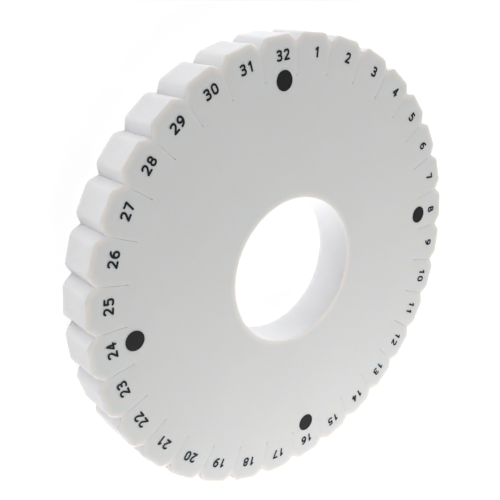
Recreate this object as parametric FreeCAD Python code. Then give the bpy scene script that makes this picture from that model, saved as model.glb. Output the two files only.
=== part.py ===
import FreeCAD, Part
import os
from math import cos, degrees, radians, sin, tan

# Braiding disk: a round slab of firm foam with a hole in the middle. Its rim is cut into tabs by
# V-shaped notches, and a knife slit runs inward from each notch to grip a cord. The tabs are numbered
# clockwise in ink, and a dot marks every quarter turn.
# The back of the slab lies on Z = 0 and the printed face looks up. The highest number is towards +Y.

# Driving dimensions, in millimetres and degrees

# Foam slab
DISK_ACROSS_FLATS = 108.0
DISK_THICKNESS = 10.0
HOLE_DIAMETER = 35.0
EDGE_ROUNDING = 0.4

# Tabs, notches and slits of the rim
TAB_COUNT = 32
TAB_FLAT_WIDTH = 6.6
TAB_CORNER_ROUNDING = 0.8
NOTCH_DEPTH = 1.85
SLOT_DEPTH = 9.0
SLIT_WIDTH = 0.25

# Ink on the front face
INK_THICKNESS = 0.05
NUMERAL_HEIGHT = 2.35
NUMERAL_WIDTH = 1.62
NUMERAL_STROKE = 0.44
NUMERAL_GAP = 0.4
NUMERAL_INSET = 4.5
DOT_COUNT = 4
DOT_DIAMETER = 4.45
DOT_INSET = 9.8

# The print lies slightly up and to the right of the cut outline, and is turned clockwise from it. The
# numbers also drift along the rim, ahead of their tabs and behind them twice in a turn.
PRINT_SHIFT_X = 0.47
PRINT_SHIFT_Y = 0.24
PRINT_TURN = -0.5
NUMERAL_DRIFT = 0.33

# Worked out from the driving dimensions
RIM_RADIUS = DISK_ACROSS_FLATS / 2
TAB_PITCH = 360.0 / TAB_COUNT
NOTCH_RADIUS = RIM_RADIUS - NOTCH_DEPTH
SLIT_END_RADIUS = RIM_RADIUS - SLOT_DEPTH
NUMERAL_RADIUS = RIM_RADIUS - NUMERAL_INSET
DOT_CENTRE_RADIUS = RIM_RADIUS - DOT_INSET

ORIGIN = FreeCAD.Vector(0, 0, 0)
UP = FreeCAD.Vector(0, 0, 1)
TINY = 1e-6


def tab_angle(number):
    """Direction of the middle of a tab, or of the notch beyond it for a number and a half."""
    return 90.0 - number * TAB_PITCH


def polar(radius, angle, height=0.0):
    return FreeCAD.Vector(radius * cos(radians(angle)), radius * sin(radians(angle)), height)


def rounded_path(corners):
    """An open wire through the corners (x, y, radius), each rounded as far as its two legs allow."""
    points = [FreeCAD.Vector(x, y, 0) for x, y, _ in corners]
    last = len(points) - 1
    edges = []

    def add_line(start, end):
        if start.distanceToPoint(end) > TINY:
            edges.append(Part.LineSegment(start, end).toShape())

    pen_at = points[0]
    for index in range(1, last):
        corner = points[index]
        radius = corners[index][2]
        back = points[index - 1] - corner
        ahead = points[index + 1] - corner
        half_angle = back.getAngle(ahead) / 2
        room_back = back.Length if index == 1 else back.Length / 2
        room_ahead = ahead.Length if index == last - 1 else ahead.Length / 2
        reach = min(radius / tan(half_angle), room_back, room_ahead)
        back.normalize()
        ahead.normalize()
        add_line(pen_at, corner + back * reach)
        if reach > TINY:
            depth = reach * (1 / cos(half_angle) - tan(half_angle))
            middle = corner + (back + ahead).normalize() * depth
            edges.append(Part.Arc(corner + back * reach, middle, corner + ahead * reach).toShape())
        pen_at = corner + ahead * reach
    add_line(pen_at, points[last])
    return Part.Wire(edges)


def tab_corner(number, side):
    """An end of a tab's flat: side is 1 for the clockwise end and -1 for the other."""
    return polar(RIM_RADIUS, tab_angle(number)) + polar(side * TAB_FLAT_WIDTH / 2, tab_angle(number) - 90)


def rim_outline():
    """The die-cut outline without its slits: flats with rounded corners, joined by V-shaped notches."""
    start = polar(RIM_RADIUS, tab_angle(0))
    corners = [(start.x, start.y, 0)]
    for number in range(TAB_COUNT):
        flat_end = tab_corner(number, 1)
        notch = polar(NOTCH_RADIUS, tab_angle(number + 0.5))
        next_flat = tab_corner(number + 1, -1)
        corners.append((flat_end.x, flat_end.y, TAB_CORNER_ROUNDING))
        corners.append((notch.x, notch.y, 0))
        corners.append((next_flat.x, next_flat.y, TAB_CORNER_ROUNDING))
    corners.append(corners[0])
    return Part.Face(rounded_path(corners))


def slit(number):
    """The knife cut that runs inward from the notch on the clockwise side of a tab, and ends square."""
    blade = Part.makeBox(SLOT_DEPTH, SLIT_WIDTH, DISK_THICKNESS)
    blade.translate(FreeCAD.Vector(SLIT_END_RADIUS, -SLIT_WIDTH / 2, 0))
    blade.rotate(ORIGIN, UP, tab_angle(number + 0.5))
    return blade


def lies_flat(edge):
    """Is the edge in the front or the back face?"""
    box = edge.BoundBox
    from_a_face = min(abs(box.ZMin), abs(box.ZMin - DISK_THICKNESS))
    return box.ZLength < TINY and from_a_face < TINY


def foam_disk():
    slab = rim_outline().extrude(UP * DISK_THICKNESS)
    hole = Part.makeCylinder(HOLE_DIAMETER / 2, DISK_THICKNESS)
    slab = slab.cut(hole)
    slab = slab.makeFillet(EDGE_ROUNDING, [edge for edge in slab.Edges if lies_flat(edge)])
    slits = Part.makeCompound([slit(number) for number in range(TAB_COUNT)])
    return slab.cut(slits)


def inked(path):
    """The area that a round pen of the numerals' stroke covers along an open path."""
    return path.makeOffset2D(NUMERAL_STROKE / 2, fill=True)


def loop(half_width, low, high):
    """A closed oval as its left and right halves."""
    halves = []
    for side in (-half_width, half_width):
        halves.append([(0, low, 0), (side, low, 1), (side, high, 1), (0, high, 0)])
    return halves


def upside_down(strokes):
    return [[(-x, 1 - y, radius) for x, y, radius in stroke] for stroke in strokes]


SIX = loop(1, 0, 0.6) + [[(0.75, 1, 0), (-1, 0.97, 2), (-1, 0.3, 0)]]

# Centre lines of the ten numerals. A stroke is a list of corners (x, y, rounding): x runs from -1 to 1
# across the numeral, y from 0 at its foot to 1 at its top, and the rounding is in half widths.
NUMERALS = {
    "0": loop(0.97, 0, 1),
    "1": [[(-0.6, 0.8, 0), (0.2, 1, 0), (0.2, 0, 0)]],
    "2": [[(-0.9, 0.87, 0), (-0.6, 1, 0.6), (0.9, 1, 1), (0.9, 0.6, 1), (-0.95, 0, 0), (1, 0, 0)]],
    "3": [
        [(-0.85, 0.93, 0), (-0.5, 1, 0.5), (0.85, 1, 1), (0.85, 0.54, 1), (-0.35, 0.54, 0)],
        [(-0.35, 0.54, 0), (0.95, 0.54, 1), (0.95, 0, 1), (-0.6, 0, 0.6), (-0.95, 0.06, 0)],
    ],
    "4": [
        [(0.45, 0, 0), (0.45, 1, 0), (-1, 0.27, 0)],
        [(0.45, 1, 0), (-1, 0.27, 0), (1.05, 0.27, 0)],
    ],
    "5": [
        [(0.8, 1, 0), (-0.7, 1, 0), (-0.75, 0.56, 0)],
        [(-0.75, 0.56, 0), (-0.2, 0.61, 0.4), (0.95, 0.61, 1), (0.95, 0, 1)]
        + [(-0.6, 0, 0.6), (-0.95, 0.06, 0)],
    ],
    "6": SIX,
    "7": [[(-0.95, 1, 0), (0.95, 1, 0), (-0.35, 0, 0)]],
    "8": loop(0.97, 0, 0.53) + loop(0.84, 0.53, 1),
    "9": upside_down(SIX),
}


def glyph(character):
    """One numeral as a thin solid of ink, its middle at the origin and its top towards +Y."""
    half_width = (NUMERAL_WIDTH - NUMERAL_STROKE) / 2
    height = NUMERAL_HEIGHT - NUMERAL_STROKE
    areas = []
    for stroke in NUMERALS[character]:
        corners = []
        for x, y, rounding in stroke:
            corners.append((x * half_width, (y - 0.5) * height, rounding * half_width))
        areas.append(inked(rounded_path(corners)))
    area = areas[0].fuse(areas[1:]).removeSplitter() if len(areas) > 1 else areas[0]
    return area.Faces[0].extrude(UP * INK_THICKNESS)


def printed(mark, radius, angle):
    """A mark laid on the front face, its top outward, with the shift and turn of the whole print."""
    mark.rotate(ORIGIN, UP, angle + PRINT_TURN - 90)
    mark.translate(polar(radius, angle + PRINT_TURN, DISK_THICKNESS))
    mark.translate(FreeCAD.Vector(PRINT_SHIFT_X, PRINT_SHIFT_Y, 0))
    return mark


def number_mark(number):
    """The printed number of one tab, drifted along the rim."""
    digits = str(number)
    advance = NUMERAL_WIDTH + NUMERAL_GAP
    glyphs = []
    for place, character in enumerate(digits):
        digit = glyph(character)
        digit.translate(FreeCAD.Vector((place - (len(digits) - 1) / 2) * advance, 0, 0))
        glyphs.append(digit)
    drift = NUMERAL_DRIFT * sin(radians(2 * number * TAB_PITCH))
    angle = tab_angle(number) - degrees(drift / NUMERAL_RADIUS)
    return printed(Part.makeCompound(glyphs), NUMERAL_RADIUS, angle)


def dot_mark(quarter):
    """The printed dot of one quarter turn."""
    dot = Part.makeCylinder(DOT_DIAMETER / 2, INK_THICKNESS)
    return printed(dot, DOT_CENTRE_RADIUS, tab_angle(quarter * TAB_COUNT / DOT_COUNT))


def subparts():
    """Every piece of the object by its name."""
    pieces = {"foam_disk": foam_disk()}
    for number in range(1, TAB_COUNT + 1):
        pieces[f"number_{number:02d}"] = number_mark(number)
    for quarter in range(1, DOT_COUNT + 1):
        pieces[f"dot_{round(quarter * TAB_COUNT / DOT_COUNT):02d}"] = dot_mark(quarter)
    return pieces


os.makedirs("parts", exist_ok=True)
for name, shape in subparts().items():
    shape.exportStep(f"parts/{name}.step")
    print(f"{name}: {len(shape.Solids)} solids, {shape.Volume:.3f} mm3, valid {shape.isValid()}")
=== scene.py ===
import random
from math import atan2, cos, exp, floor, hypot, pi, radians, sin, tan

import bmesh
import bpy
from mathutils import Matrix, Vector
from mathutils.geometry import delaunay_2d_cdt


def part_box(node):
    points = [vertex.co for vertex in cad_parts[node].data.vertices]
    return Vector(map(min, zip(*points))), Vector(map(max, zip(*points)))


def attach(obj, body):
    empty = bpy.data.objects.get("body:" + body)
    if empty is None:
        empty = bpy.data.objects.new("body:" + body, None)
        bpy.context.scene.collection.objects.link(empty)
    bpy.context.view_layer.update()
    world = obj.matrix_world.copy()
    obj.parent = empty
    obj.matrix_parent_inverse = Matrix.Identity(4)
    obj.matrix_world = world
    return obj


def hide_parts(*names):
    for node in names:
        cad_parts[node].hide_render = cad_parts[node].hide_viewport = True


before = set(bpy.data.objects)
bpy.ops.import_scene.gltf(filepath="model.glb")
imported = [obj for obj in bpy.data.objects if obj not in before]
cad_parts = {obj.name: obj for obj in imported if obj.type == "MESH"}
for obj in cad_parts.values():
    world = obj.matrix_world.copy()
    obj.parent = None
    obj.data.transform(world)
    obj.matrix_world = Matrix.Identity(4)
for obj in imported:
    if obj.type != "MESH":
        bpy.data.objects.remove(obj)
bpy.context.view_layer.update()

MM = 0.001

# The foam slab's sizes in millimetres. The rim and the two faces come from the solid itself.
foam_low, foam_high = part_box("foam_disk")
RIM_RADIUS = (foam_high[0] - foam_low[0]) / 2 / MM
BACK = foam_low[2] / MM
FRONT = foam_high[2] / MM
HOLE_RADIUS = 17.5
TAB_COUNT = 32
TAB_PITCH = 2 * pi / TAB_COUNT
TAB_FLAT_WIDTH = 6.6
TAB_CORNER_ROUNDING = 1.5
NOTCH_DEPTH = 1.85
SLOT_DEPTH = 9.0
NOTCH_RADIUS = RIM_RADIUS - NOTCH_DEPTH
SLIT_END_RADIUS = RIM_RADIUS - SLOT_DEPTH

# The end of a tab's flat, and the direction that its chamfer faces, along the tab and across it
FLAT_END = Vector((RIM_RADIUS, TAB_FLAT_WIDTH / 2))
CHAMFER = Vector((NOTCH_RADIUS * cos(TAB_PITCH / 2), NOTCH_RADIUS * sin(TAB_PITCH / 2))) - FLAT_END
CHAMFER_NORMAL = Vector((CHAMFER.y, -CHAMFER.x)).normalized()

# How the knife slits lie: nearly closed by the springy foam, a little bent and slanted to one side, with
# a small eye at the inner end. A spread is how much a size varies from slit to slit.
MOUTH_GAP = 0.004
MOUTH_ROUNDING = 0.03
SLIT_GAP = 0.03
SLIT_GAP_SPREAD = 0.012
SLIT_SLANT = 0.09
SLIT_BEND_ROUNDING = 8.0
SLIT_NECK_ROUNDING = 2.0
SLIT_EYE_RADIUS = 0.07
SLIT_EYE_LENGTH = 0.5

# The slits gape most where they lie along one direction of the foam, and are nearly shut across it
GAPE_DIRECTION = radians(-17)
GAPE_LEAST = 0.15

# How far the cut edges of the foam are rounded over at the front, and what share of that at the back
RIM_ROUNDING = 0.4
HOLE_ROUNDING = 0.3
MOUTH_LIP_ROUNDING = 0.02
LIP_ROUNDING = 0.1
LIP_ROUNDING_SPREAD = 0.04
EYE_ROUNDING = 0.1
BACK_ROUNDING_SHARE = 0.2

# How far the faces sink at the rim and at the slits, within how far from them, and the walls halfway up
RIM_SINK = 0.03
SLIT_SINK = 0.06
SINK_REACH = 0.6
WALL_SINK = 0.07

# How finely the slab's skin is divided. A rounded corner takes at most a share of its shorter leg, and a
# row of points along an edge keeps a share of its own distance from every other edge.
LONGEST_STEP = 0.9
SHORTEST_STEP = 0.02
ARC_STEP = radians(20)
LEAST_ARC_STEPS = 2
CORNER_LEG_SHARE = 0.45
HOLE_STEPS = 180
EDGE_STEPS = 5
WALL_STEPS = 6
FACE_CONTOURS = (0.3, 0.7, 1.3, 2.0)
CONTOUR_CLEARANCE_SHARE = 0.97
FACE_GRID = 1.6
FACE_GRID_CLEARANCE = 2.8

# How a face is split into triangles: points this close are one, and only what the edges enclose is filled
SAME_POINT = 1e-7
TRIANGLES_WITHIN_EDGES = 1

# The photograph's camera: its place and the directions of its right, up and back, in the part's frame
CAMERA_PLACE = Vector((-102.31, 77.49, 129.41)) * MM
CAMERA_RIGHT = (0.771826, -0.087367, 0.629803)
CAMERA_UP = (0.323515, 0.906678, -0.270692)
CAMERA_BACK = (-0.547379, 0.412678, 0.728062)
CAMERA_LENS = 53.59
SENSOR_WIDTH = 36.0

# Colours of the foam's moulded faces and its cut walls, each mottled between two tones in lumps of a size
# in millimetres, and of a warm band along the cut edges, painted lighter than the face as a highlight on
# the rounded edges. A face passes into a wall between two values of how upright the surface's normal is.
WHITE = (1, 1, 1, 1)
FACE_DARK = (0.662, 0.667, 0.658, 1)
FACE_LIGHT = (0.687, 0.692, 0.683, 1)
FACE_MOTTLE = 14
CUT_DARK = (0.69, 0.69, 0.70, 1)
CUT_LIGHT = (0.715, 0.715, 0.73, 1)
CUT_MOTTLE = 5
FACE_UPRIGHT = 0.8
CUT_UPRIGHT = 0.3
EDGE_TINT_AND_HIGHLIGHT = (0.795, 0.763, 0.735, 1)
EDGE_HIGHLIGHT_WIDTH = 1.8
EDGE_HIGHLIGHT_SHARE = 0.8

# What has marked the foam: a trace of soil on the highest of some lumps, and one stain whose edge and
# core are given as shares of its size, each mixed in by a share
SOIL = (0.45, 0.44, 0.42, 1)
SOIL_LUMP = 2.2
SOIL_START = 0.6
SOIL_FULL = 0.8
SOIL_SHARE = 0.05
STAIN = (0.72, 0.62, 0.42, 1)
STAIN_PLACE = (42.5, -15.0, FRONT)
STAIN_SIZE = 2.2
STAIN_EDGE = 1.5
STAIN_CORE = 0.4
STAIN_LUMP = 1.2
STAIN_SHARE = 0.25

# The relief of the foam: the sizes and heights of its lumps in millimetres, and how much higher the grain
# and the pores are on the cut walls. A detail is how many layers of finer lumps are added to the lumps.
COARSE_DETAIL = 2.0
FINE_DETAIL = 4.0
SKIN_LUMP = 5.0
SKIN_HEIGHT = 0.05
GRAIN_LUMP = 0.35
GRAIN_HEIGHT = 0.03
CUT_GRAIN_EXTRA = 0.03
PORE_SIZE = 0.3
PORE_HEIGHT = 0.012
CUT_PORE_EXTRA = 0.02

# How the foam takes light: its roughness from one lump to the next, its gloss, and how far red, green and
# blue scatter within it. Towards a slit the scatter fades out, because it would be lost in the gap.
ROUGHNESS_LUMP = 0.8
LEAST_ROUGHNESS = 0.74
MOST_ROUGHNESS = 0.9
FOAM_GLOSS = 0.3
SCATTER_REACH = (1.0, 0.85, 0.7)
SCATTER_SCALE = 1.2
SCATTER_FADE = 1.2

# The ink, worn paler on the highest of some lumps
INK = (0.008, 0.008, 0.009, 1)
WORN_INK = (0.03, 0.03, 0.032, 1)
WEAR_LUMP = 0.25
WEAR_DETAIL = 3.0
WEAR_START = 0.55
WEAR_FULL = 0.8
INK_ROUGHNESS = 0.55
INK_GLOSS = 0.1

# The studio's weak light all round, and its floor: how wide it is in metres, and how far it lies below the
# slab in millimetres. It glows, but less under the slab, and looks whiter from one distance to another.
WORLD_LIGHT = 0.1
FLOOR_SIZE = 4.0
FLOOR_GAP = 0.05
FLOOR_GLOW = 0.875
COVERED_FLOOR_GLOW = 0.36
COVER_FADE = 1.0
FLOOR_COLOUR = (0.9, 0.9, 0.9, 1)
FLOOR_WHITE = 0.88
FLOOR_WHITE_START = 80.0
FLOOR_WHITE_END = 250.0
FLOOR_SHADE_COLOUR = (0.2, 0.2, 0.2, 1)

# The studio's square soft boxes, each with its azimuth and elevation in degrees, its distance from the
# disk and its width in metres, and its power in watts
SOFT_BOXES = (
    (270, 38, 0.28, 0.2, 0.73),
    (120, 38, 0.45, 0.3, 0.65),
    (30, 14, 0.45, 0.2, 0.91),
)

random.seed(32)


def spot(radius, angle, across=0.0):
    """A point by its distance from the axis along a direction, and its distance clockwise from there."""
    x = radius * cos(angle) + across * sin(angle)
    y = radius * sin(angle) - across * cos(angle)
    return Vector((x, y))


def tab_angle(number):
    """Direction of the middle of a tab, or of the notch beyond it for a number and a half."""
    return pi / 2 - number * TAB_PITCH


def gape(angle):
    """How far a slit in a direction springs open, as a share of the most."""
    return GAPE_LEAST + (1 - GAPE_LEAST) * cos(angle - GAPE_DIRECTION) ** 2


def notch_corners(number):
    """The outline from the flat of one tab, in and out of the slit beyond it, to the next tab's flat.

    A corner is (place, rounding of the outline there, rounding of the edge there).
    """
    angle = tab_angle(number + 0.5)
    gap = gape(angle) * (SLIT_GAP + random.uniform(-1, 1) * SLIT_GAP_SPREAD)
    slant = random.uniform(-1, 1) * SLIT_SLANT
    lip = gape(angle) * (LIP_ROUNDING + random.uniform(-1, 1) * LIP_ROUNDING_SPREAD)
    middle = (NOTCH_RADIUS + SLIT_END_RADIUS) / 2
    neck = SLIT_END_RADIUS + SLIT_EYE_LENGTH
    eye = SLIT_END_RADIUS + SLIT_EYE_RADIUS * 2
    sides = []
    for side in (-1, 1):
        flat_end = spot(RIM_RADIUS, tab_angle(number + 0.5 + side / 2), -side * TAB_FLAT_WIDTH / 2)
        chamfer_run = flat_end - spot(NOTCH_RADIUS, angle)
        share = MOUTH_GAP / 2 / abs(chamfer_run.dot(spot(0, angle, 1)))
        mouth = spot(NOTCH_RADIUS, angle) + chamfer_run * share
        sides.append([
            (flat_end, TAB_CORNER_ROUNDING, RIM_ROUNDING),
            (mouth, MOUTH_ROUNDING, MOUTH_LIP_ROUNDING),
            (spot(middle, angle, side * gap / 2 + slant / 2), SLIT_BEND_ROUNDING, lip),
            (spot(neck, angle, side * gap / 2 + slant), SLIT_NECK_ROUNDING, lip),
            (spot(eye, angle, side * SLIT_EYE_RADIUS + slant), SLIT_EYE_RADIUS, EYE_ROUNDING),
            (spot(SLIT_END_RADIUS, angle, side * SLIT_EYE_RADIUS + slant), SLIT_EYE_RADIUS, EYE_ROUNDING),
        ])
    return sides[0] + sides[1][::-1]


def rounded_outline(corners):
    """Points (place, edge rounding) along a closed outline whose corners are rounded."""
    points = []
    count = len(corners)
    for index in range(count):
        corner, radius, edge = corners[index]
        before = corners[index - 1][0]
        after = corners[(index + 1) % count][0]
        back = before - corner
        ahead = after - corner
        turn = pi - back.angle(ahead)
        room = min(back.length, ahead.length) * CORNER_LEG_SHARE
        reach = min(radius * tan(turn / 2), room)
        start = corner + back.normalized() * reach
        end = corner + ahead.normalized() * reach
        steps = max(LEAST_ARC_STEPS, round(turn / ARC_STEP))
        for step in range(steps + 1):
            share = step / steps
            place = start.lerp(corner, share).lerp(corner.lerp(end, share), share)
            if not points or (place - points[-1][0]).length > SHORTEST_STEP:
                points.append((place, edge))
    return points


def divided(points):
    """The same closed outline with its long runs divided."""
    result = []
    for index, (place, edge) in enumerate(points):
        after, edge_after = points[(index + 1) % len(points)]
        parts = max(1, round((after - place).length / LONGEST_STEP))
        for part in range(parts):
            share = part / parts
            result.append((place.lerp(after, share), edge + (edge_after - edge) * share))
    return result


def rim_loop():
    corners = []
    for number in range(TAB_COUNT):
        corners += notch_corners(number)
    return divided(rounded_outline(corners))


def hole_loop():
    loop = []
    for step in range(HOLE_STEPS):
        loop.append((spot(HOLE_RADIUS, 2 * pi * step / HOLE_STEPS), HOLE_ROUNDING))
    return loop


def outward_normals(loop):
    """The direction out of the foam at each point of a loop that has the foam on its right."""
    normals = []
    for index in range(len(loop)):
        along = loop[(index + 1) % len(loop)][0] - loop[index - 1][0]
        normals.append(Vector((-along.y, along.x)).normalized())
    return normals


def depth_from_rim(point):
    """How far a point of the face lies from the nearest flat or chamfer of the rim, or from the hole."""
    tab = tab_angle(round((pi / 2 - atan2(point.y, point.x)) / TAB_PITCH))
    along = point.dot(spot(1, tab))
    across = abs(point.dot(spot(0, tab, 1)))
    from_chamfer = (FLAT_END - Vector((along, across))).dot(CHAMFER_NORMAL)
    return min(RIM_RADIUS - along, from_chamfer, point.length - HOLE_RADIUS)


def depth_from_slit(point):
    slit = tab_angle(floor((pi / 2 - atan2(point.y, point.x)) / TAB_PITCH) + 0.5)
    beyond_end = max(0, SLIT_END_RADIUS - point.dot(spot(1, slit)))
    return hypot(point.dot(spot(0, slit, 1)), beyond_end)


def depth(point):
    return min(depth_from_rim(point), depth_from_slit(point))


def sunk(point):
    """How far the face sinks at a point."""
    at_rim = RIM_SINK * exp(-depth_from_rim(point) / SINK_REACH)
    at_slit = SLIT_SINK * exp(-depth_from_slit(point) / SINK_REACH)
    return at_rim + at_slit


def edge_profile(edge, sink):
    """The cut edge's section from the back face to the front, as (inset, height) pairs."""
    back_edge = edge * BACK_ROUNDING_SHARE
    dish = WALL_SINK * max(0, edge - EYE_ROUNDING) / (RIM_ROUNDING - EYE_ROUNDING)
    lower = []
    upper = []
    for step in range(EDGE_STEPS + 1):
        turn = pi / 2 * step / EDGE_STEPS
        inset = 1 - sin(turn)
        height = 1 - cos(turn)
        lower.append((back_edge * inset, BACK + back_edge * height))
        upper.append((edge * inset, FRONT - sink - edge * height))
    wall = []
    for step in range(1, WALL_STEPS):
        share = step / WALL_STEPS
        height = BACK + back_edge + (FRONT - BACK - back_edge - edge - sink) * share
        wall.append((dish * sin(pi * share), height))
    return lower + wall + upper[::-1]


def add_skin(mesh, loop):
    """The rounded wall along a loop. Returns its ring in the back face and its ring in the front face."""
    columns = []
    for (place, edge), normal in zip(loop, outward_normals(loop)):
        column = []
        for inset, height in edge_profile(edge, sunk(place - normal * edge)):
            point = place - normal * inset
            column.append(mesh.verts.new((point.x * MM, point.y * MM, height * MM)))
        columns.append(column)
    for index, column in enumerate(columns):
        beside = columns[(index + 1) % len(columns)]
        for row in range(len(column) - 1):
            mesh.faces.new((column[row], column[row + 1], beside[row + 1], beside[row]))
    return [column[0] for column in columns], [column[-1] for column in columns]


def contour_points(loop):
    """Points in rows along a loop, each row further into the face."""
    points = []
    for (place, edge), normal in zip(loop, outward_normals(loop)):
        for distance in FACE_CONTOURS:
            point = place - normal * (edge + distance)
            if depth(point) > CONTOUR_CLEARANCE_SHARE * (edge + distance):
                points.append(point)
    return points


def grid_points():
    """Points spread evenly over the face, further in than the rows along its edges."""
    points = []
    rows = int(RIM_RADIUS / FACE_GRID)
    for row in range(-rows, rows + 1):
        for column in range(-rows, rows + 1):
            point = Vector(((column + row % 2 / 2) * FACE_GRID, row * FACE_GRID))
            if depth(point) > FACE_GRID_CLEARANCE:
                points.append(point)
    return points


def add_face(mesh, rings, points, front):
    """The front or the back face, between the rim's ring and the hole's."""
    verts = []
    edges = []
    for ring in rings:
        first = len(verts)
        verts += ring
        for index in range(len(ring)):
            edges.append((first + index, first + (index + 1) % len(ring)))
    for point in points:
        height = FRONT - sunk(point) if front else BACK
        verts.append(mesh.verts.new((point.x * MM, point.y * MM, height * MM)))
    flat = [vert.co.xy / MM for vert in verts]
    result = delaunay_2d_cdt(flat, edges, [], TRIANGLES_WITHIN_EDGES, SAME_POINT)
    _, _, triangles, origins, _, _ = result
    around_hole = range(len(rings[0]), len(rings[0]) + len(rings[1]))
    for triangle in triangles:
        places = [origins[index][0] for index in triangle]
        if all(place in around_hole for place in places):
            continue
        corners = [verts[place] for place in places]
        if not front:
            corners.reverse()
        mesh.faces.new(corners)


def link(name, mesh, material):
    data = bpy.data.meshes.new(name)
    mesh.to_mesh(data)
    mesh.free()
    data.materials.append(material)
    data.shade_smooth()
    piece = bpy.data.objects.new(name, data)
    bpy.context.scene.collection.objects.link(piece)
    return piece


def foam_piece(material):
    mesh = bmesh.new()
    rim = rim_loop()
    hole = hole_loop()
    points = contour_points(rim) + contour_points(hole) + grid_points()
    rim_back, rim_front = add_skin(mesh, rim)
    hole_back, hole_front = add_skin(mesh, hole)
    add_face(mesh, (rim_front, hole_front), points, True)
    add_face(mesh, (rim_back, hole_back), points, False)
    bmesh.ops.recalc_face_normals(mesh, faces=mesh.faces)
    piece = link("foam", mesh, material)
    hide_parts("foam_disk")
    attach(piece, "root")


def add_node(tree, kind, inputs, **settings):
    """A new shader node with its settings. An input takes a number, a colour or another node's output."""
    node = tree.nodes.new(kind)
    for name, value in settings.items():
        setattr(node, name, value)
    for name, value in inputs.items():
        if isinstance(value, bpy.types.NodeSocket):
            tree.links.new(value, node.inputs[name])
        else:
            node.inputs[name].default_value = value
    return node


def maths(tree, operation, *values):
    return add_node(tree, "ShaderNodeMath", dict(enumerate(values)), operation=operation).outputs[0]


def smooth_step(tree, value, start, end):
    """Nought where a value is before the start, one where it is past the end, and smooth between."""
    inputs = {"Value": value, "From Min": start, "From Max": end}
    return add_node(tree, "ShaderNodeMapRange", inputs, interpolation_type="SMOOTHSTEP").outputs["Result"]


def lumps(tree, place, size, detail=COARSE_DETAIL):
    """Soft random lumps of about a size in millimetres, from 0 to 1."""
    inputs = {"Vector": place, "Scale": 1 / size, "Detail": detail}
    return add_node(tree, "ShaderNodeTexNoise", inputs).outputs["Fac"]


def mixed(tree, share, first, second):
    """Two colours mixed by a share."""
    inputs = {"Factor": share, 6: first, 7: second}
    return add_node(tree, "ShaderNodeMix", inputs, data_type="RGBA").outputs[2]


def cells(tree, place, size):
    """Round cells of about a size in millimetres: 0 in the middle of each, and up to 1 between them."""
    inputs = {"Vector": place, "Scale": 1 / size}
    return add_node(tree, "ShaderNodeTexVoronoi", inputs, feature="SMOOTH_F1").outputs["Distance"]


def bumped(tree, height, distance, before=None):
    """A surface normal bumped by a height from 0 to 1 over a distance in metres."""
    inputs = {"Height": height, "Distance": distance}
    if before:
        inputs["Normal"] = before
    return add_node(tree, "ShaderNodeBump", inputs).outputs["Normal"]


def place_in_mm(tree):
    """The place on the object in millimetres, in the part's frame."""
    place = add_node(tree, "ShaderNodeTexCoord", {}).outputs["Object"]
    inputs = {0: place, "Scale": 1 / MM}
    return add_node(tree, "ShaderNodeVectorMath", inputs, operation="SCALE").outputs["Vector"]


def shader_length(tree, x, y):
    squares = maths(tree, "ADD", maths(tree, "MULTIPLY", x, x), maths(tree, "MULTIPLY", y, y))
    return maths(tree, "SQRT", squares)


def around_the_axis(tree, place):
    """The distance from the axis, and the angle from the middle of the nearest tab, as shader values."""
    x, y, _ = add_node(tree, "ShaderNodeSeparateXYZ", {"Vector": place}).outputs
    turned = maths(tree, "PINGPONG", maths(tree, "ARCTAN2", y, x), TAB_PITCH / 2)
    return shader_length(tree, x, y), turned


def shader_depth_from_slit(tree, place):
    """What depth_from_slit gives, as a shader value."""
    radius, turned = around_the_axis(tree, place)
    from_slit = maths(tree, "SUBTRACT", TAB_PITCH / 2, turned)
    along = maths(tree, "MULTIPLY", radius, maths(tree, "COSINE", from_slit))
    across = maths(tree, "MULTIPLY", radius, maths(tree, "SINE", from_slit))
    beyond_end = maths(tree, "MAXIMUM", maths(tree, "SUBTRACT", SLIT_END_RADIUS, along), 0)
    return shader_length(tree, across, beyond_end)


def shader_depth_from_rim(tree, place):
    """What depth_from_rim gives, as a shader value."""
    radius, turned = around_the_axis(tree, place)
    along = maths(tree, "MULTIPLY", radius, maths(tree, "COSINE", turned))
    across = maths(tree, "MULTIPLY", radius, maths(tree, "SINE", turned))
    from_flat = maths(tree, "SUBTRACT", RIM_RADIUS, along)
    along_part = maths(tree, "MULTIPLY", along, CHAMFER_NORMAL.x)
    across_part = maths(tree, "MULTIPLY", across, CHAMFER_NORMAL.y)
    reach = FLAT_END.dot(CHAMFER_NORMAL)
    from_chamfer = maths(tree, "SUBTRACT", reach, maths(tree, "ADD", along_part, across_part))
    from_hole = maths(tree, "SUBTRACT", radius, HOLE_RADIUS)
    return maths(tree, "MINIMUM", maths(tree, "MINIMUM", from_flat, from_chamfer), from_hole)


def stained(tree, place):
    """A share that is one in the middle of the stain and fades out with a ragged edge."""
    ends = {0: place, 1: STAIN_PLACE}
    away = add_node(tree, "ShaderNodeVectorMath", ends, operation="DISTANCE").outputs["Value"]
    ragged = maths(tree, "MULTIPLY_ADD", lumps(tree, place, STAIN_LUMP), STAIN_SIZE, away)
    return smooth_step(tree, ragged, STAIN_SIZE * STAIN_EDGE, STAIN_SIZE * STAIN_CORE)


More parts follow.
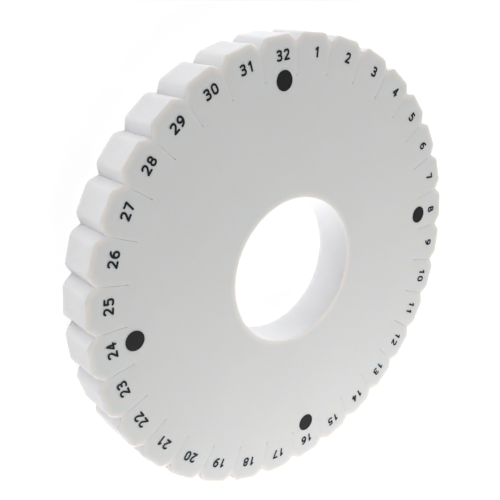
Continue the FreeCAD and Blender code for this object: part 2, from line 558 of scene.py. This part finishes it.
def foam_colour(tree, place, on_cut):
    colour = mixed(tree, lumps(tree, place, FACE_MOTTLE), FACE_DARK, FACE_LIGHT)
    # Painted highlight: a warm band along the edges of the rim and the hole, lighter than the rest of the
    # face
    edge_highlight_band = smooth_step(tree, shader_depth_from_rim(tree, place), EDGE_HIGHLIGHT_WIDTH, 0)
    colour = mixed(tree, maths(tree, "MULTIPLY", edge_highlight_band, EDGE_HIGHLIGHT_SHARE), colour, EDGE_TINT_AND_HIGHLIGHT)
    cut_colour = mixed(tree, lumps(tree, place, CUT_MOTTLE), CUT_DARK, CUT_LIGHT)
    colour = mixed(tree, on_cut, colour, cut_colour)
    soil = smooth_step(tree, lumps(tree, place, SOIL_LUMP, FINE_DETAIL), SOIL_START, SOIL_FULL)
    colour = mixed(tree, maths(tree, "MULTIPLY", soil, SOIL_SHARE), colour, SOIL)
    return mixed(tree, maths(tree, "MULTIPLY", stained(tree, place), STAIN_SHARE), colour, STAIN)


def foam_relief(tree, place, on_cut):
    """The surface normal over the skin's soft waves, the grain and the pores."""
    skin = bumped(tree, lumps(tree, place, SKIN_LUMP), SKIN_HEIGHT * MM)
    grain_height = maths(tree, "MULTIPLY_ADD", on_cut, CUT_GRAIN_EXTRA * MM, GRAIN_HEIGHT * MM)
    grain = bumped(tree, lumps(tree, place, GRAIN_LUMP, FINE_DETAIL), grain_height, skin)
    pore_height = maths(tree, "MULTIPLY_ADD", on_cut, CUT_PORE_EXTRA * MM, PORE_HEIGHT * MM)
    return bumped(tree, cells(tree, place, PORE_SIZE), pore_height, grain)


def foam_roughness(tree, place):
    lump = lumps(tree, place, ROUGHNESS_LUMP)
    inputs = {"Value": lump, "To Min": LEAST_ROUGHNESS, "To Max": MOST_ROUGHNESS}
    return add_node(tree, "ShaderNodeMapRange", inputs).outputs["Result"]


def foam_material():
    material = bpy.data.materials.new("foam")
    material.use_nodes = True
    tree = material.node_tree
    place = place_in_mm(tree)
    normal = add_node(tree, "ShaderNodeTexCoord", {}).outputs["Normal"]
    upright = add_node(tree, "ShaderNodeSeparateXYZ", {"Vector": normal}).outputs["Z"]
    on_cut = smooth_step(tree, maths(tree, "ABSOLUTE", upright), FACE_UPRIGHT, CUT_UPRIGHT)
    scatter = smooth_step(tree, shader_depth_from_slit(tree, place), 0, SCATTER_FADE)

    shader = tree.nodes["Principled BSDF"]
    tree.links.new(foam_colour(tree, place, on_cut), shader.inputs["Base Color"])
    tree.links.new(foam_relief(tree, place, on_cut), shader.inputs["Normal"])
    tree.links.new(foam_roughness(tree, place), shader.inputs["Roughness"])
    tree.links.new(scatter, shader.inputs["Subsurface Weight"])
    shader.inputs["Specular IOR Level"].default_value = FOAM_GLOSS
    shader.inputs["Subsurface Radius"].default_value = SCATTER_REACH
    shader.inputs["Subsurface Scale"].default_value = SCATTER_SCALE * MM
    return material


def ink_material():
    material = bpy.data.materials.new("ink")
    material.use_nodes = True
    tree = material.node_tree
    place = place_in_mm(tree)
    worn = smooth_step(tree, lumps(tree, place, WEAR_LUMP, WEAR_DETAIL), WEAR_START, WEAR_FULL)
    grain = bumped(tree, lumps(tree, place, GRAIN_LUMP, FINE_DETAIL), GRAIN_HEIGHT * MM)
    shader = tree.nodes["Principled BSDF"]
    tree.links.new(mixed(tree, worn, INK, WORN_INK), shader.inputs["Base Color"])
    tree.links.new(grain, shader.inputs["Normal"])
    shader.inputs["Roughness"].default_value = INK_ROUGHNESS
    shader.inputs["Specular IOR Level"].default_value = INK_GLOSS
    return material


def make_camera():
    data = bpy.data.cameras.new("camera")
    data.lens = CAMERA_LENS
    data.sensor_width = SENSOR_WIDTH
    camera = bpy.data.objects.new("camera", data)
    turn = Matrix((CAMERA_RIGHT, CAMERA_UP, CAMERA_BACK)).transposed()
    camera.matrix_world = Matrix.Translation(CAMERA_PLACE) @ turn.to_4x4()
    bpy.context.scene.collection.objects.link(camera)
    bpy.context.scene.camera = camera


def seen_directly(tree):
    """One for the rays that come from the camera, from gloss or through glass, which see plain white."""
    rays = add_node(tree, "ShaderNodeLightPath", {}).outputs
    seen = maths(tree, "MAXIMUM", rays["Is Camera Ray"], rays["Is Glossy Ray"])
    return maths(tree, "MAXIMUM", seen, rays["Is Transmission Ray"])


def make_studio():
    """White to look at, and a weak light from all round."""
    world = bpy.data.worlds.new("studio")
    world.use_nodes = True
    tree = world.node_tree
    strength = maths(tree, "MULTIPLY_ADD", seen_directly(tree), 1 - WORLD_LIGHT, WORLD_LIGHT)
    background = tree.nodes["Background"]
    background.inputs["Color"].default_value = WHITE
    tree.links.new(strength, background.inputs["Strength"])
    bpy.context.scene.world = world


def floor_light(tree, away):
    """What the floor gives the object: a glow, weaker under the slab, and the light that falls on it."""
    past_hole = smooth_step(tree, away, HOLE_RADIUS, HOLE_RADIUS + COVER_FADE)
    within_rim = smooth_step(tree, away, RIM_RADIUS, RIM_RADIUS - COVER_FADE)
    covered = maths(tree, "MULTIPLY", past_hole, within_rim)
    strength = maths(tree, "MULTIPLY_ADD", covered, COVERED_FLOOR_GLOW - FLOOR_GLOW, FLOOR_GLOW)
    glow = add_node(tree, "ShaderNodeEmission", {"Color": WHITE, "Strength": strength})
    paper = add_node(tree, "ShaderNodeBsdfDiffuse", {"Color": FLOOR_COLOUR})
    return add_node(tree, "ShaderNodeAddShader", {0: glow.outputs[0], 1: paper.outputs[0]}).outputs[0]


def floor_look(tree, away):
    """What is seen of the floor: from above, white with the object's faint shadow. From below, nothing."""
    far = smooth_step(tree, away, FLOOR_WHITE_START, FLOOR_WHITE_END)
    brightness = maths(tree, "MULTIPLY_ADD", far, 1 - FLOOR_WHITE, FLOOR_WHITE)
    plain = add_node(tree, "ShaderNodeEmission", {"Color": WHITE, "Strength": brightness})
    shade = add_node(tree, "ShaderNodeBsdfDiffuse", {"Color": FLOOR_SHADE_COLOUR})
    shown = add_node(tree, "ShaderNodeAddShader", {0: plain.outputs[0], 1: shade.outputs[0]})
    clear = add_node(tree, "ShaderNodeBsdfTransparent", {})
    below = add_node(tree, "ShaderNodeNewGeometry", {}).outputs["Backfacing"]
    inputs = {0: below, 1: shown.outputs[0], 2: clear.outputs[0]}
    return add_node(tree, "ShaderNodeMixShader", inputs).outputs[0]


def floor_material():
    material = bpy.data.materials.new("floor")
    material.use_nodes = True
    tree = material.node_tree
    place = place_in_mm(tree)
    away = add_node(tree, "ShaderNodeVectorMath", {0: place}, operation="LENGTH").outputs["Value"]
    inputs = {0: seen_directly(tree), 1: floor_light(tree, away), 2: floor_look(tree, away)}
    surface = add_node(tree, "ShaderNodeMixShader", inputs)
    tree.links.new(surface.outputs[0], tree.nodes["Material Output"].inputs["Surface"])
    return material


def make_floor():
    mesh = bmesh.new()
    bmesh.ops.create_grid(mesh, x_segments=1, y_segments=1, size=FLOOR_SIZE / 2)
    piece = link("floor", mesh, floor_material())
    piece.location.z = (BACK - FLOOR_GAP) * MM


def add_lamp(azimuth, elevation, distance, width, power):
    """A square soft box that faces the middle of the disk."""
    data = bpy.data.lights.new("soft box", "AREA")
    data.size = width
    data.energy = power
    lamp = bpy.data.objects.new("soft box", data)
    turn = radians(azimuth)
    rise = radians(elevation)
    way = Vector((cos(rise) * cos(turn), cos(rise) * sin(turn), sin(rise)))
    lamp.location = way * distance
    lamp.rotation_euler = way.to_track_quat("Z", "Y").to_euler()
    lamp.visible_camera = False
    bpy.context.scene.collection.objects.link(lamp)


foam_piece(foam_material())
ink = ink_material()
for name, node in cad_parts.items():
    if name != "foam_disk":
        node.data.materials.clear()
        node.data.materials.append(ink)

make_camera()
make_studio()
make_floor()
for soft_box in SOFT_BOXES:
    add_lamp(*soft_box)
bpy.context.scene.view_settings.view_transform = "Standard"
